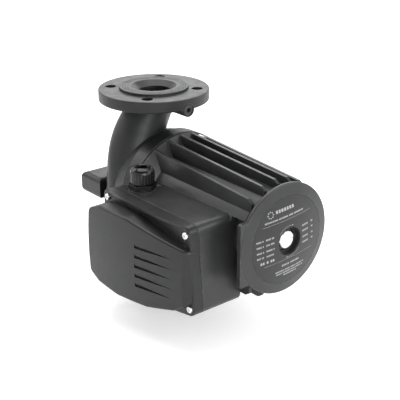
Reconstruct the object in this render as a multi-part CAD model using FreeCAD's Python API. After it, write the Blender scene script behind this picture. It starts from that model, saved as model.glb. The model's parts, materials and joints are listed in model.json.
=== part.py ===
import FreeCAD, Part

import math
import os

from FreeCAD import Vector

# ---------------------------------------------------------------------------
# In-line wet-rotor circulator pump, DN50, flanged, 250 mm between flange faces.
# Row frame: origin at the centre of the lower flange's raised face, +Z along the
# pipe towards the upper flange, motor axis along -Y, terminal box towards -X.
# The parts are drawn about the motor axis (z = 0) and lifted by AXIS_HEIGHT when
# they are written. A "station" is a distance along the motor axis, towards -Y.
# ---------------------------------------------------------------------------

PORT_TO_PORT = 250.0
AXIS_HEIGHT = 122.0
UPPER_REACH = PORT_TO_PORT - AXIS_HEIGHT
LOWER_REACH = AXIS_HEIGHT

# pipe flanges
FLANGE_RADIUS = 70.0
FLANGE_THICKNESS = 14.0
FACE_RADIUS = 44.0
FACE_HEIGHT = 3.0
BOLT_CIRCLE_RADIUS = 55.0
BOLT_HOLE_RADIUS = 7.0
BOLT_HOLES = 4
SEAL_GROOVES = (34.0, 37.0, 40.0)
MOUTH_RADIUS = 28.5
PASSAGE_RADIUS = 20.0
MOUTH_DEPTH = 6.0

# pump casing
JOINT_STATION = 53.0
RING_RADIUS = 78.0
RING_BACK = 30.0
CHAMBER_RADIUS = 56.0
CHAMBER_BACK = 22.0
SEAT_RADIUS = 63.0
SEAT_STATION = 48.0
EYE_HOLE_RADIUS = 28.0
EYE_WALL_BACK = 14.0
SUCTION_RADIUS = 31.0
SUCTION_BACK = -22.0
FOOT_LENGTH = 148.0
FOOT_LOW = -16.0
FOOT_HIGH = 12.0
FOOT_FRONT = -20.0
FOOT_BACK = -63.0
FOOT_ROUND = 7.0
POCKET_X = (34.5, 42.0)
POCKET_HALF_HEIGHT = 8.0
POCKET_FLOOR = -29.0
FOOT_HOLE_SPACING = 100.0
FOOT_HOLE_RADIUS = 5.1
FOOT_HOLE_DEPTH = 20.0
TAP_DROP = 17.1
TAP_BOSS_RADIUS = 8.6
TAP_FACE = 70.5
TAP_RADIUS = 6.0
TAP_DEPTH = 14.0
TAP_BORE_RADIUS = 2.0

# joint screws between the casing and the motor
JOINT_SCREW_CIRCLE = 70.0
JOINT_SCREW_ANGLES = (67.6, 150.0, 243.8, 330.0)
JOINT_SCREW_RADIUS = 4.0
JOINT_SCREW_HEAD_RADIUS = 6.5
JOINT_SCREW_HEAD_HEIGHT = 8.0
JOINT_SCREW_DEPTH = 17.0
MOTOR_FLANGE_FRONT = 57.0

# rotor, bearings and can
SHAFT_RADIUS = 6.0
SHAFT_THREAD_RADIUS = 4.0
SHAFT_BACK = 22.5
SHAFT_SHOULDER = 30.0
SHAFT_FRONT = 207.0
RUNNING_GAP = 0.04
BEARING_RADIUS = 10.5
REAR_BEARING = (46.0, 60.0)
FRONT_BEARING = (194.0, 206.0)
ROTOR_RADIUS = 26.5
ROTOR_CORE = (80.0, 170.0)
END_RING = 8.0
ROTOR_SLEEVE = 0.7
CAN_INNER = 28.2
CAN_WALL = 0.8
CAN_END = 212.0
IMPELLER_RADIUS = 50.0
IMPELLER_NECK_RADIUS = 25.0
IMPELLER_EYE_RADIUS = 22.0
VANES = 7

# stator
STATOR_RADIUS = 53.0
STATOR_BORE = 29.5
STATOR_CORE = (75.0, 175.0)

# motor housing
MOTOR_FLANGE_RADIUS = 77.0
BODY_RADIUS_BACK = 59.0
BODY_RADIUS_FRONT = 57.5
BODY_FRONT = 228.0
NECK_RADIUS = 46.0
STATOR_ROOM_FRONT = 200.0
FRONT_ROOM_RADIUS = 41.0
FRONT_ROOM_END = 236.0
HUB_RADIUS = 20.0
DISC_BACK = 234.0
DISC_RADIUS = 66.2
WING_Z = (-42.0, 34.0)
WING_FRONT = 239.3
DOME_TOP = 248.6
DOME_RADIUS = 250.0
LABEL_RADIUS = 53.3
LABEL_DEPTH = 0.8
VENT_WELL_RADIUS = 16.6
VENT_BUSH_RADIUS = 14.0
VENT_THREAD_RADIUS = 7.0
VENT_HEAD_RADIUS = 10.5
VENT_HEAD_HEIGHT = 3.2
VENT_SHANK = 14.0
VENT_WELL_FLOOR = 240.0
FIN_THICKNESS = 3.6
FIN_PITCH = 19.2
FIN_FIRST_X = -40.5
FINS = 5
FIN_REACH_BACK = 77.0
FIN_REACH_FRONT = 67.0
LOWER_FIN_REACH_FRONT = 75.0
FIN_BACK = 54.0
FIN_FRONT = 229.0
SIDE_FIN_REACH = 71.0
SIDE_FIN_HEIGHTS = (36.0, 18.0, 0.0, -18.0)

# terminal box
BOX_TOP = 31.0
BOX_LOW_FRONT = -73.0
BOX_LOW_BACK = -103.0
BOX_FRONT_TOP = 206.0
BOX_FRONT_LOW = 214.5
BOX_BACK_INNER = 53.0
BOX_BACK_RIM = 43.0
BOX_CORNER = 10.0
BOX_WALL = 3.5
BOX_FLOOR_X = -62.0
BOX_ROOT_X = -42.0
BASE_EDGE_X = -97.2
GASKET_EDGE_X = -98.5
COVER_SEAM_X = -98.8
COVER_RIM_X = -110.0
COVER_WALL = 2.6
PILLOW_OUTLINE = ((46.0, 12.0), (70.0, 21.5), (118.0, 21.5), (209.0, 6.0), (211.0, -57.0),
                  (190.0, -70.5), (150.0, -80.0), (100.0, -83.0), (64.0, -79.0), (46.0, -70.0))
PILLOW_BEVEL = ((-110.0, 210.5), (-140.0, 190.0))
PILLOW_REACH_X = -138.0
PILLOW_SPHERE = 500.0
PILLOW_CREST = 70.0
PILLOW_CREST_Z = -35.0
LOUVRES = 5
LOUVRE_PITCH = 12.0
LOUVRE_FIRST_Z = -9.5
LOUVRE_START = 135.5
LOUVRE_LENGTH = 56.0
LOUVRE_RISE = 3.0
LOUVRE_HEIGHT = 5.0
LOUVRE_DEPTH = 2.0
LIP_REACH_X = -115.0
LIP_RADIUS = 500.0
LIP_MIDDLE = 126.0
LIP_THICKNESS = 3.5
COVER_SCREWS = ((53.0, 21.5), (200.0, 21.5), (207.0, -65.0), (54.0, -91.0))

# cable gland
GLAND_X = -80.0
GLAND_STATION = 81.5
PAD_HEIGHT = 2.5
PAD_RADIUS = 16.8
GLAND_THREAD_RADIUS = 12.4
GLAND_HEX_FLATS = 29.0
GLAND_HEX_HEIGHT = 5.5
GLAND_COLLAR_RADIUS = 11.5
GLAND_BORE_RADIUS = 8.0
CAP_RADIUS = 14.6
CAP_RIBS = 24
CAP_HEIGHT = 13.0
CAP_DOME = 6.5
CAP_HOLE_RADIUS = 6.6


# ------------------------------- helpers -----------------------------------

def at(station, radius):
    """A point of a turned profile, in the plane z = 0."""
    return Vector(radius, -station, 0)


def turned(points):
    """Solid turned about the motor axis from (station, radius) points."""
    wire = Part.makePolygon([at(*p) for p in points] + [at(*points[0])])
    return Part.Face(wire).revolve(Vector(0, 0, 0), Vector(0, 1, 0), 360)


def turned_edges(edges):
    """Solid turned about the motor axis from a closed run of edges."""
    face = Part.Face(Part.Wire(edges))
    return face.revolve(Vector(0, 0, 0), Vector(0, 1, 0), 360)


def ring(back, front, inner, outer):
    """Plain ring or disc about the motor axis between two stations."""
    return turned([(back, inner), (back, outer), (front, outer), (front, inner)])


def rod(x, z, back, front, radius):
    """Round bar parallel to the motor axis."""
    return Part.makeCylinder(radius, front - back, Vector(x, -back, z), Vector(0, -1, 0))


def upright(x, station, low, high, radius):
    """Round bar parallel to the pipe axis."""
    return Part.makeCylinder(radius, high - low, Vector(x, -station, low))


def across(x_low, x_high, station, z, radius):
    """Round bar parallel to X."""
    return Part.makeCylinder(radius, x_high - x_low, Vector(x_low, -station, z), Vector(1, 0, 0))


def block(x, stations, z):
    """Box between two x values, two stations and two heights."""
    corner = Vector(min(x), -max(stations), min(z))
    return Part.makeBox(abs(x[1] - x[0]), abs(stations[1] - stations[0]), abs(z[1] - z[0]), corner)


def rounded_wire(corners, radius):
    """Closed wire through the corners, each one rounded by the same radius."""
    edges = []
    tangents = []
    count = len(corners)
    for i, corner in enumerate(corners):
        before = (corners[i - 1] - corner).normalize()
        after = (corners[(i + 1) % count] - corner).normalize()
        half = before.getAngle(after) / 2
        reach = radius / math.tan(half)
        bisector = (before + after).normalize()
        centre = corner + bisector * (radius / math.sin(half))
        middle = centre - bisector * radius
        tangents.append((corner + before * reach, middle, corner + after * reach))
    for i, (start, middle, end) in enumerate(tangents):
        edges.append(Part.Arc(start, middle, end).toShape())
        edges.append(Part.LineSegment(end, tangents[(i + 1) % count][0]).toShape())
    return Part.Wire(edges)


def hexagon(centre, axis, flats, height):
    """Hexagonal prism on a face centre, along an axis."""
    axis = Vector(axis).normalize()
    side = Vector(0, 0, 1) if abs(axis.z) < 0.5 else Vector(1, 0, 0)
    other = axis.cross(side)
    radius = flats / math.sqrt(3)
    points = []
    for k in range(7):
        angle = math.radians(60 * k + 30)
        points.append(centre + side * (radius * math.cos(angle)) + other * (radius * math.sin(angle)))
    return Part.Face(Part.makePolygon(points)).extrude(axis * height)


def flipped(shape):
    """The same shape turned half a turn about the motor axis."""
    copy = shape.copy()
    copy.rotate(Vector(0, 0, 0), Vector(0, 1, 0), 180)
    return copy


def polar(angle, radius):
    return radius * math.cos(math.radians(angle)), radius * math.sin(math.radians(angle))


def joint_screw_places():
    return [polar(angle, JOINT_SCREW_CIRCLE) for angle in JOINT_SCREW_ANGLES]


def dome(radius, drop=0.0):
    """Station of the domed end face at a radius."""
    return DOME_TOP - drop - DOME_RADIUS + math.sqrt(DOME_RADIUS ** 2 - radius ** 2)


def dome_edge(start, end, drop=0.0):
    """Arc of the domed end face between two radii."""
    middle = (start + end) / 2
    points = [at(dome(r, drop), r) for r in (start, middle, end)]
    return Part.Arc(*points).toShape()


# ------------------------------ pump casing --------------------------------

# (height above the motor axis, x, y, x radius, y radius)
NECK_OUTER = (
    (95.0, -8.0, 4.0, 33.0, 30.0),
    (74.0, -19.0, 5.0, 35.0, 31.0),
    (52.0, -27.5, 3.0, 36.5, 31.0),
    (28.0, -32.0, 0.0, 38.5, 30.0),
    (0.0, -34.0, 0.0, 39.5, 28.0),
)
DISCHARGE_INNER = (
    (88.0, -7.0, 2.0, 21.5, 20.5),
    (70.0, -16.0, -3.0, 23.0, 20.0),
    (55.0, -23.0, -14.0, 23.0, 18.0),
    (38.0, -26.0, -28.0, 22.0, 15.0),
)
SUCTION_INNER = (
    (86.0, -6.0, 4.0, 21.5, 20.5),
    (68.0, -14.0, 9.0, 23.0, 19.0),
    (45.0, -16.0, 10.0, 22.0, 17.0),
    (15.0, -8.0, 6.0, 20.0, 15.0),
)
NECK_ROOT_RADIUS = 29.0


def horn(sections):
    """Loft through (height, x, y, x radius, y radius) ellipses."""
    wires = []
    for z, x, y, rx, ry in sections:
        centre = Vector(x, y, z)
        if rx >= ry:
            curve = Part.Ellipse(centre + Vector(rx, 0, 0), centre + Vector(0, ry, 0), centre)
        else:
            curve = Part.Ellipse(centre + Vector(0, ry, 0), centre + Vector(-rx, 0, 0), centre)
        wires.append(Part.Wire(curve.toShape()))
    return Part.makeLoft(wires, True, False)


def flange_underside(reach):
    """Height of the inner side of a flange whose sealing face lies at a reach."""
    return reach - FACE_HEIGHT - FLANGE_THICKNESS


def neck(reach):
    """Neck between the drum and the flange at a reach."""
    root = (flange_underside(reach) + 2.0, 0.0, 0.0, NECK_ROOT_RADIUS, NECK_ROOT_RADIUS)
    return horn((root,) + NECK_OUTER)


def passage(reach, sections):
    """Water passage: straight below the mouth, then through the given sections."""
    straight = [(z, 0.0, 0.0, PASSAGE_RADIUS, PASSAGE_RADIUS)
                for z in (reach - MOUTH_DEPTH + 1.5, flange_underside(reach) - 4.0)]
    return horn(tuple(straight) + sections)


def flange_body(reach):
    """Flange with its plate and raised face, without holes."""
    plate_top = reach - FACE_HEIGHT
    plate = Part.makeCylinder(FLANGE_RADIUS, FLANGE_THICKNESS, Vector(0, 0, flange_underside(reach)))
    rim = [e for e in plate.Edges if e.Length > 2 * math.pi * FLANGE_RADIUS - 1]
    plate = plate.makeFillet(1.2, rim)
    face = Part.makeCylinder(FACE_RADIUS, FACE_HEIGHT, Vector(0, 0, plate_top))
    edge = [e for e in face.Edges if abs(e.BoundBox.ZMin - reach) < 0.01 and e.Length > 200]
    return plate.fuse(face.makeFillet(1.0, edge))


def mouth_cone(reach):
    """Tapered mouth; its tip runs a little way into the passage."""
    tip = 1.0
    tip_radius = PASSAGE_RADIUS - tip * (MOUTH_RADIUS - PASSAGE_RADIUS) / MOUTH_DEPTH
    height = MOUTH_DEPTH + tip
    return Part.makeCone(tip_radius, MOUTH_RADIUS, height, Vector(0, 0, reach - height))


def flange_cuts(reach):
    """Bolt holes, tapered mouth, sealing grooves and pressure tapping of a flange."""
    low = flange_underside(reach)
    cuts = []
    for k in range(BOLT_HOLES):
        x, y = polar(45 + 360 / BOLT_HOLES * k, BOLT_CIRCLE_RADIUS)
        cuts.append(Part.makeCylinder(BOLT_HOLE_RADIUS, 40, Vector(x, y, low - 18)))
    cuts.append(mouth_cone(reach))
    for radius in SEAL_GROOVES:
        cuts.append(Part.makeTorus(radius, 0.45, Vector(0, 0, reach)))
    tap_z = reach - TAP_DROP
    cuts.append(rod(0, tap_z, TAP_FACE - TAP_DEPTH, TAP_FACE + 1, TAP_RADIUS))
    cuts.append(rod(0, tap_z, PASSAGE_RADIUS - 5, TAP_FACE, TAP_BORE_RADIUS))
    return cuts


def tap_boss(reach):
    """Boss for the pressure tapping, half sunk in the flange and facing the motor."""
    boss = rod(0, reach - TAP_DROP, NECK_ROOT_RADIUS - 10, TAP_FACE, TAP_BOSS_RADIUS)
    return boss.makeFillet(1.0, [e for e in boss.Edges if e.BoundBox.YMax < 0.01 - TAP_FACE])


def casing_body():
    """Volute drum with its joint ring and its rounded back."""
    return turned([(JOINT_STATION, 0), (JOINT_STATION, RING_RADIUS - 1), (JOINT_STATION - 1, RING_RADIUS),
                   (RING_BACK + 2, RING_RADIUS), (RING_BACK, RING_RADIUS - 1), (12, 73), (-2, 68), (-13, 61),
                   (-21, 51), (-27, 39), (-30, 24), (-30, 0)])


def foot_bar():
    """Mounting foot across the back of the casing, with a rib to the drum."""
    half_x = FOOT_LENGTH / 2
    height = FOOT_HIGH - FOOT_LOW
    bar = block((-half_x, half_x), (FOOT_FRONT, FOOT_BACK), (FOOT_LOW, FOOT_HIGH))
    bar = bar.makeFillet(FOOT_ROUND, [e for e in bar.Edges if abs(e.Length - height) > 0.5])
    rib = block((-30, 30), (FOOT_FRONT, FOOT_BACK + 8), (FOOT_LOW - 6, FOOT_HIGH + 8))
    rib = rib.makeFillet(9.0, [e for e in rib.Edges if abs(e.Length - 60) > 0.5])
    return bar.fuse(rib)


def foot_pockets():
    """Cored pockets in the back of the foot, one beside each bolt hole."""
    near, far = POCKET_X
    z = (-POCKET_HALF_HEIGHT, POCKET_HALF_HEIGHT)
    pocket = block((near, far), (POCKET_FLOOR, FOOT_BACK - 1), z)
    pocket = pocket.makeFillet(3.0, [e for e in pocket.Edges if abs(e.BoundBox.YLength - e.Length) < 0.01])
    other = pocket.copy()
    other.translate(Vector(-near - far, 0, 0))
    return [pocket, other]


def chamber_cuts():
    """Impeller chamber, seats and suction chamber, all on the motor axis."""
    return [ring(SEAT_STATION, JOINT_STATION + 1, 0, SEAT_RADIUS),
            ring(CHAMBER_BACK, SEAT_STATION + 1, 0, CHAMBER_RADIUS),
            ring(EYE_WALL_BACK, CHAMBER_BACK + 1, 0, EYE_HOLE_RADIUS),
            ring(SUCTION_BACK, EYE_WALL_BACK + 0.5, 0, SUCTION_RADIUS - 4),
            ring(SUCTION_BACK + 4, EYE_WALL_BACK, 0, SUCTION_RADIUS)]


def pump_casing():
    upper = neck(UPPER_REACH).fuse([flange_body(UPPER_REACH), tap_boss(UPPER_REACH)])
    lower = neck(LOWER_REACH).fuse([flange_body(LOWER_REACH), tap_boss(LOWER_REACH)])
    body = casing_body().fuse([upper, flipped(lower), foot_bar()])
    cuts = flange_cuts(UPPER_REACH)
    cuts += [flipped(c) for c in flange_cuts(LOWER_REACH)]
    cuts.append(passage(UPPER_REACH, DISCHARGE_INNER))
    cuts.append(flipped(passage(LOWER_REACH, SUCTION_INNER)))
    cuts += chamber_cuts() + foot_pockets()
    for x, z in joint_screw_places():
        cuts.append(rod(x, z, JOINT_STATION - JOINT_SCREW_DEPTH, JOINT_STATION + 1, JOINT_SCREW_RADIUS))
    for side in (-1, 1):
        x = side * FOOT_HOLE_SPACING / 2
        cuts.append(rod(x, 0, FOOT_BACK - 1, FOOT_BACK + FOOT_HOLE_DEPTH, FOOT_HOLE_RADIUS))
    for cut in cuts:
        body = body.cut(cut)
    return body


def tap_plug(reach):
    """Socket-headed pipe plug in the pressure tapping of one flange."""
    z = reach - TAP_DROP
    plug = rod(0, z, TAP_FACE - TAP_DEPTH + 2, TAP_FACE - 0.8, TAP_RADIUS)
    return plug.cut(hexagon(Vector(0, 0.7 - TAP_FACE, z), (0, 1, 0), 6.0, 6.0))


def pressure_tap_plugs():
    return Part.makeCompound([tap_plug(UPPER_REACH), flipped(tap_plug(LOWER_REACH))])


def wear_ring():
    return ring(EYE_WALL_BACK, CHAMBER_BACK - 0.5, IMPELLER_NECK_RADIUS + 0.3, EYE_HOLE_RADIUS)


# ------------------------------ rotating set -------------------------------

def vane(angle):
    """One backward-curved impeller vane between the shrouds."""
    inner = 20.0
    outer = IMPELLER_RADIUS - 0.5
    thickness = 2.4
    sweep = 58.0

    def spiral(fraction, offset):
        radius = inner + (outer - inner) * fraction
        turn = math.radians(angle + sweep * fraction)
        return Vector(radius * math.cos(turn) - offset * math.sin(turn), -26.0,
                      radius * math.sin(turn) + offset * math.cos(turn))

    near = Part.Arc(spiral(0, 0), spiral(0.5, 0), spiral(1, 0)).toShape()
    far = Part.Arc(spiral(0, thickness), spiral(0.5, thickness), spiral(1, thickness)).toShape()
    start = Part.LineSegment(spiral(0, 0), spiral(0, thickness)).toShape()
    end = Part.LineSegment(spiral(1, 0), spiral(1, thickness)).toShape()
    wire = Part.Wire([near, end, far, start])
    return Part.Face(wire).extrude(Vector(0, -13.5, 0))


def impeller():
    """Closed impeller: eye towards the back of the casing."""
    front_shroud = ring(24.0, 26.5, IMPELLER_EYE_RADIUS, IMPELLER_RADIUS)
    neck = ring(16.0, 25.0, IMPELLER_EYE_RADIUS, IMPELLER_NECK_RADIUS)
    back_shroud = ring(39.0, 42.0, SHAFT_RADIUS, IMPELLER_RADIUS)
    hub = ring(SHAFT_SHOULDER, 43.5, SHAFT_RADIUS, 11.0)
    body = front_shroud.fuse([neck, back_shroud, hub])
    return body.fuse([vane(360 / VANES * k) for k in range(VANES)]).removeSplitter()


def impeller_nut():
    nut = hexagon(Vector(0, -SHAFT_SHOULDER, 0), (0, 1, 0), 13.0, 6.0)
    return nut.cut(rod(0, 0, 20, 32, SHAFT_THREAD_RADIUS))


def rotor_shaft():
    return turned([(SHAFT_BACK, 0), (SHAFT_BACK, SHAFT_THREAD_RADIUS - 0.5),
                   (SHAFT_BACK + 0.5, SHAFT_THREAD_RADIUS), (SHAFT_SHOULDER, SHAFT_THREAD_RADIUS),
                   (SHAFT_SHOULDER, SHAFT_RADIUS), (SHAFT_FRONT - 1, SHAFT_RADIUS),
                   (SHAFT_FRONT, SHAFT_RADIUS - 1), (SHAFT_FRONT, 0)])


def thrust_washer():
    return ring(REAR_BEARING[1] + 0.1, REAR_BEARING[1] + 3.5, SHAFT_RADIUS, 11.0)


def rotor_core():
    return ring(ROTOR_CORE[0], ROTOR_CORE[1], SHAFT_RADIUS, ROTOR_RADIUS)


def rotor_end_rings():
    back = ring(ROTOR_CORE[0] - END_RING, ROTOR_CORE[0], 14.0, ROTOR_RADIUS)
    front = ring(ROTOR_CORE[1], ROTOR_CORE[1] + END_RING, 14.0, ROTOR_RADIUS)
    return Part.makeCompound([back, front])


def rotor_sleeve():
    """Thin stainless shell that keeps the water off the rotor iron."""
    back = ROTOR_CORE[0] - END_RING
    front = ROTOR_CORE[1] + END_RING
    outer = ring(back - ROTOR_SLEEVE, front + ROTOR_SLEEVE, SHAFT_RADIUS, ROTOR_RADIUS + ROTOR_SLEEVE)
    return outer.cut(ring(back, front, 0, ROTOR_RADIUS))


# ------------------------- bearings, can and stator ------------------------

def bearing_bush(stations):
    return ring(stations[0], stations[1], SHAFT_RADIUS + RUNNING_GAP, BEARING_RADIUS)


def bearing_plate():
    """Plate between pump chamber and motor, with the hub of the rear bearing."""
    return turned([(SEAT_STATION, SEAT_RADIUS), (SEAT_STATION + 3.5, SEAT_RADIUS), (SEAT_STATION + 3.5, 20),
                   (REAR_BEARING[1], 15), (REAR_BEARING[1], BEARING_RADIUS),
                   (REAR_BEARING[0], BEARING_RADIUS), (REAR_BEARING[0], 15), (SEAT_STATION, 20)])


def casing_gasket():
    return ring(SEAT_STATION + 3.5, JOINT_STATION, 58.5, 62.5)


def rotor_can():
    """Thin can between the wet rotor and the dry stator, with its clamped flange."""
    outer = CAN_INNER + CAN_WALL
    back = SEAT_STATION + 3.5
    return turned([(back, CAN_INNER), (back, 57.0), (JOINT_STATION, 57.0), (JOINT_STATION, outer + 1.5),
                   (JOINT_STATION + 2, outer), (CAN_END + CAN_WALL, outer), (CAN_END + CAN_WALL, 8.0),
                   (CAN_END, 8.0), (CAN_END, CAN_INNER)])


def front_bearing_holder():
    """Wheel-like holder of the front bearing inside the closed end of the can."""
    body = ring(FRONT_BEARING[0], CAN_END - 2, BEARING_RADIUS, CAN_INNER)
    for k in range(6):
        x, z = polar(60 * k, 19.5)
        body = body.cut(rod(x, z, FRONT_BEARING[0] - 1, CAN_END, 4.0))
    return body


def stator_core():
    """Laminated ring with slots open to its bore."""
    core = ring(STATOR_CORE[0], STATOR_CORE[1], STATOR_BORE, STATOR_RADIUS)
    slots = []
    for k in range(24):
        slot = block((STATOR_BORE + 3, STATOR_BORE + 13), (STATOR_CORE[0] - 1, STATOR_CORE[1] + 1), (-2, 2))
        slot.rotate(Vector(0, 0, 0), Vector(0, 1, 0), 15 * k)
        slots.append(slot)
    return core.cut(Part.makeCompound(slots))


def stator_windings():
    """Coil bundles: slot sides joined to the two end turns."""
    back = turned([(61.5, 34), (61.5, 44), (64, 47), (74.9, 47), (74.9, 32.5), (64, 32.5)])
    front = turned([(175.1, 32.5), (175.1, 47), (187, 47), (190, 44), (190, 34), (187, 32.5)])
    bars = []
    for k in range(24):
        bar = block((STATOR_BORE + 4, STATOR_BORE + 12.5), (74, 176), (-1.6, 1.6))
        bar.rotate(Vector(0, 0, 0), Vector(0, 1, 0), 15 * k)
        bars.append(bar)
    return back.fuse(bars + [front])


# ------------------------------ motor housing ------------------------------

def housing_shell():
    """Turned part of the housing: flange, body, groove, domed end disc and inside."""
    outer = [
        (JOINT_STATION, STATOR_RADIUS), (JOINT_STATION, MOTOR_FLANGE_RADIUS - 1),
        (JOINT_STATION + 1, MOTOR_FLANGE_RADIUS), (JOINT_STATION + 2.2, MOTOR_FLANGE_RADIUS),
        (JOINT_STATION + 15, BODY_RADIUS_BACK), (BODY_FRONT - 1, BODY_RADIUS_FRONT),
        (BODY_FRONT, BODY_RADIUS_FRONT - 1), (BODY_FRONT, NECK_RADIUS), (DISC_BACK, NECK_RADIUS),
        (DISC_BACK, DISC_RADIUS - 3.4),
    ]
    points = [at(*p) for p in outer]
    edges = [Part.LineSegment(a, b).toShape() for a, b in zip(points, points[1:])]
    low_rim = at(DISC_BACK + 3.4, DISC_RADIUS)
    high_rim = at(DISC_BACK + 4.5, DISC_RADIUS)
    face_radius = DISC_RADIUS - 2.2
    face_rim = at(dome(face_radius), face_radius)
    edges.append(Part.Arc(points[-1], at(DISC_BACK + 1.0, DISC_RADIUS - 1.0), low_rim).toShape())
    edges.append(Part.LineSegment(low_rim, high_rim).toShape())
    edges.append(Part.Arc(high_rim, at(DISC_BACK + 5.85, DISC_RADIUS - 0.7), face_rim).toShape())
    edges.append(dome_edge(face_radius, LABEL_RADIUS))
    recess = at(dome(LABEL_RADIUS, LABEL_DEPTH), LABEL_RADIUS)
    edges.append(Part.LineSegment(at(dome(LABEL_RADIUS), LABEL_RADIUS), recess).toShape())
    edges.append(dome_edge(LABEL_RADIUS, VENT_WELL_RADIUS, LABEL_DEPTH))
    hub_end = CAN_END + CAN_WALL + 0.2
    inner = [
        (dome(VENT_WELL_RADIUS, LABEL_DEPTH), VENT_WELL_RADIUS), (VENT_WELL_FLOOR, VENT_WELL_RADIUS),
        (VENT_WELL_FLOOR, VENT_BUSH_RADIUS), (hub_end, VENT_BUSH_RADIUS), (hub_end, HUB_RADIUS),
        (FRONT_ROOM_END, HUB_RADIUS), (FRONT_ROOM_END, FRONT_ROOM_RADIUS),
        (STATOR_ROOM_FRONT, FRONT_ROOM_RADIUS), (STATOR_ROOM_FRONT, STATOR_RADIUS),
        (JOINT_STATION, STATOR_RADIUS),
    ]
    points = [at(*p) for p in inner]
    edges += [Part.LineSegment(a, b).toShape() for a, b in zip(points, points[1:])]
    return turned_edges(edges)


def chord(reach, offset):
    return math.sqrt(reach ** 2 - offset ** 2)


def upright_fin(x, side, reach_front):
    """Cooling fin standing on top (side 1) or hanging below (side -1)."""
    high_back = chord(FIN_REACH_BACK, x)
    high_front = chord(reach_front, x)
    root = chord(BODY_RADIUS_FRONT - 4, x)
    corners = [(FIN_BACK, root), (FIN_BACK, high_back), (FIN_FRONT - 6, high_front + 0.3),
               (FIN_FRONT, high_front - 3.5), (FIN_FRONT, root)]
    points = [Vector(x - FIN_THICKNESS / 2, -s, side * z) for s, z in corners]
    face = Part.Face(Part.makePolygon(points + [points[0]]))
    return face.extrude(Vector(FIN_THICKNESS, 0, 0))


def side_fin(z):
    """Cooling fin on the side away from the terminal box."""
    root = chord(BODY_RADIUS_FRONT - 4, z)
    high_back = chord(FIN_REACH_BACK, z)
    high_front = chord(SIDE_FIN_REACH, z)
    corners = [(FIN_BACK, root), (FIN_BACK, high_back), (FIN_FRONT - 6, high_front),
               (FIN_FRONT, high_front - 3.5), (FIN_FRONT, root)]
    points = [Vector(x, -s, z - FIN_THICKNESS / 2) for s, x in corners]
    face = Part.Face(Part.makePolygon(points + [points[0]]))
    return face.extrude(Vector(0, 0, FIN_THICKNESS))


def box_outline(x, back, inset=0.0, corner=BOX_CORNER):
    """Rounded outline of the terminal box at one x, seen from the side."""
    corners = [Vector(x, -(back + inset), BOX_TOP - inset),
               Vector(x, -(BOX_FRONT_TOP - inset), BOX_TOP - inset),
               Vector(x, -(BOX_FRONT_LOW - inset), BOX_LOW_FRONT + inset),
               Vector(x, -(back + inset), BOX_LOW_BACK + inset)]
    return rounded_wire(corners, corner - inset * 0.6)


def box_back(x):
    """Station of the box's back wall, which flares outwards."""
    span = (x - BOX_FLOOR_X) / (COVER_RIM_X - BOX_FLOOR_X)
    return BOX_BACK_INNER + (BOX_BACK_RIM - BOX_BACK_INNER) * max(0.0, span)


def box_solid(x_inner, x_outer, inset=0.0):
    inner = box_outline(x_inner, box_back(x_inner), inset)
    outer = box_outline(x_outer, box_back(x_outer), inset)
    return Part.makeLoft([inner, outer], True, True)


def box_side_groove():
    """Groove between the terminal box and the end disc, down to the housing's neck."""
    groove = ring(BOX_FRONT_TOP, DISC_BACK, NECK_RADIUS, RING_RADIUS)
    return groove.common(block((-100, -30), (BOX_FRONT_TOP, DISC_BACK), (BOX_LOW_FRONT, BOX_TOP - 1)))


def disc_wing():
    """Square-cornered wing that carries the end disc out towards the terminal box."""
    wing = block((-DISC_RADIUS, -30.0), (DISC_BACK, WING_FRONT), WING_Z)
    thickness = WING_FRONT - DISC_BACK
    outer = [e for e in wing.Edges if e.BoundBox.XMax < -60 and abs(e.Length - thickness) < 0.01]
    return wing.makeFillet(3.0, outer)


def terminal_box():
    """Base of the terminal box with its screw posts and the pad under the gland."""
    box = box_solid(BOX_ROOT_X, BASE_EDGE_X).cut(box_solid(BOX_FLOOR_X, BASE_EDGE_X - 1, BOX_WALL))
    posts = [across(BASE_EDGE_X, BOX_FLOOR_X, s, z, 5.0) for s, z in COVER_SCREWS]
    pad = upright(GLAND_X, GLAND_STATION, BOX_TOP - 1, BOX_TOP + PAD_HEIGHT, PAD_RADIUS)
    return box.fuse(posts + [pad])


def housing_holes():
    """Screw holes, screw-head pockets, gland hole and lead hole of the housing."""
    cuts = []
    for x, z in joint_screw_places():
        cuts.append(rod(x, z, JOINT_STATION - 1, MOTOR_FLANGE_FRONT + 1, JOINT_SCREW_RADIUS))
        cuts.append(rod(x, z, MOTOR_FLANGE_FRONT, 84.0, JOINT_SCREW_HEAD_RADIUS + 0.6))
    for s, z in COVER_SCREWS:
        cuts.append(across(BASE_EDGE_X - 1, BASE_EDGE_X + 14, s, z, 2.1))
    cuts.append(upright(GLAND_X, GLAND_STATION, BOX_TOP - 8, BOX_TOP + PAD_HEIGHT + 1, GLAND_THREAD_RADIUS))
    cuts.append(across(BOX_FLOOR_X - 2, -50.0, GROMMET_STATION, 0.0, GROMMET_RADIUS))
    return cuts


def motor_housing():
    shell = housing_shell().cut(box_side_groove())
    pieces = [side_fin(z) for z in SIDE_FIN_HEIGHTS]
    for k in range(FINS):
        x = FIN_FIRST_X + FIN_PITCH * k
        pieces.append(upright_fin(x, 1, FIN_REACH_FRONT))
        pieces.append(upright_fin(x, -1, LOWER_FIN_REACH_FRONT))
    body = shell.fuse(pieces + [terminal_box(), disc_wing()])
    cuts = [ring(JOINT_STATION - 1, STATOR_ROOM_FRONT, 0, STATOR_RADIUS),
            ring(STATOR_ROOM_FRONT - 1, FRONT_ROOM_END, HUB_RADIUS, FRONT_ROOM_RADIUS)]
    around_ring = ring(RING_BACK, JOINT_STATION, 0, RING_RADIUS + 0.6)
    cuts.append(around_ring.common(block((-100, -30), (RING_BACK, JOINT_STATION), (-110, 60))))
    cuts += housing_holes()
    for cut in cuts:
        body = body.cut(cut)
    return body


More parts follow.
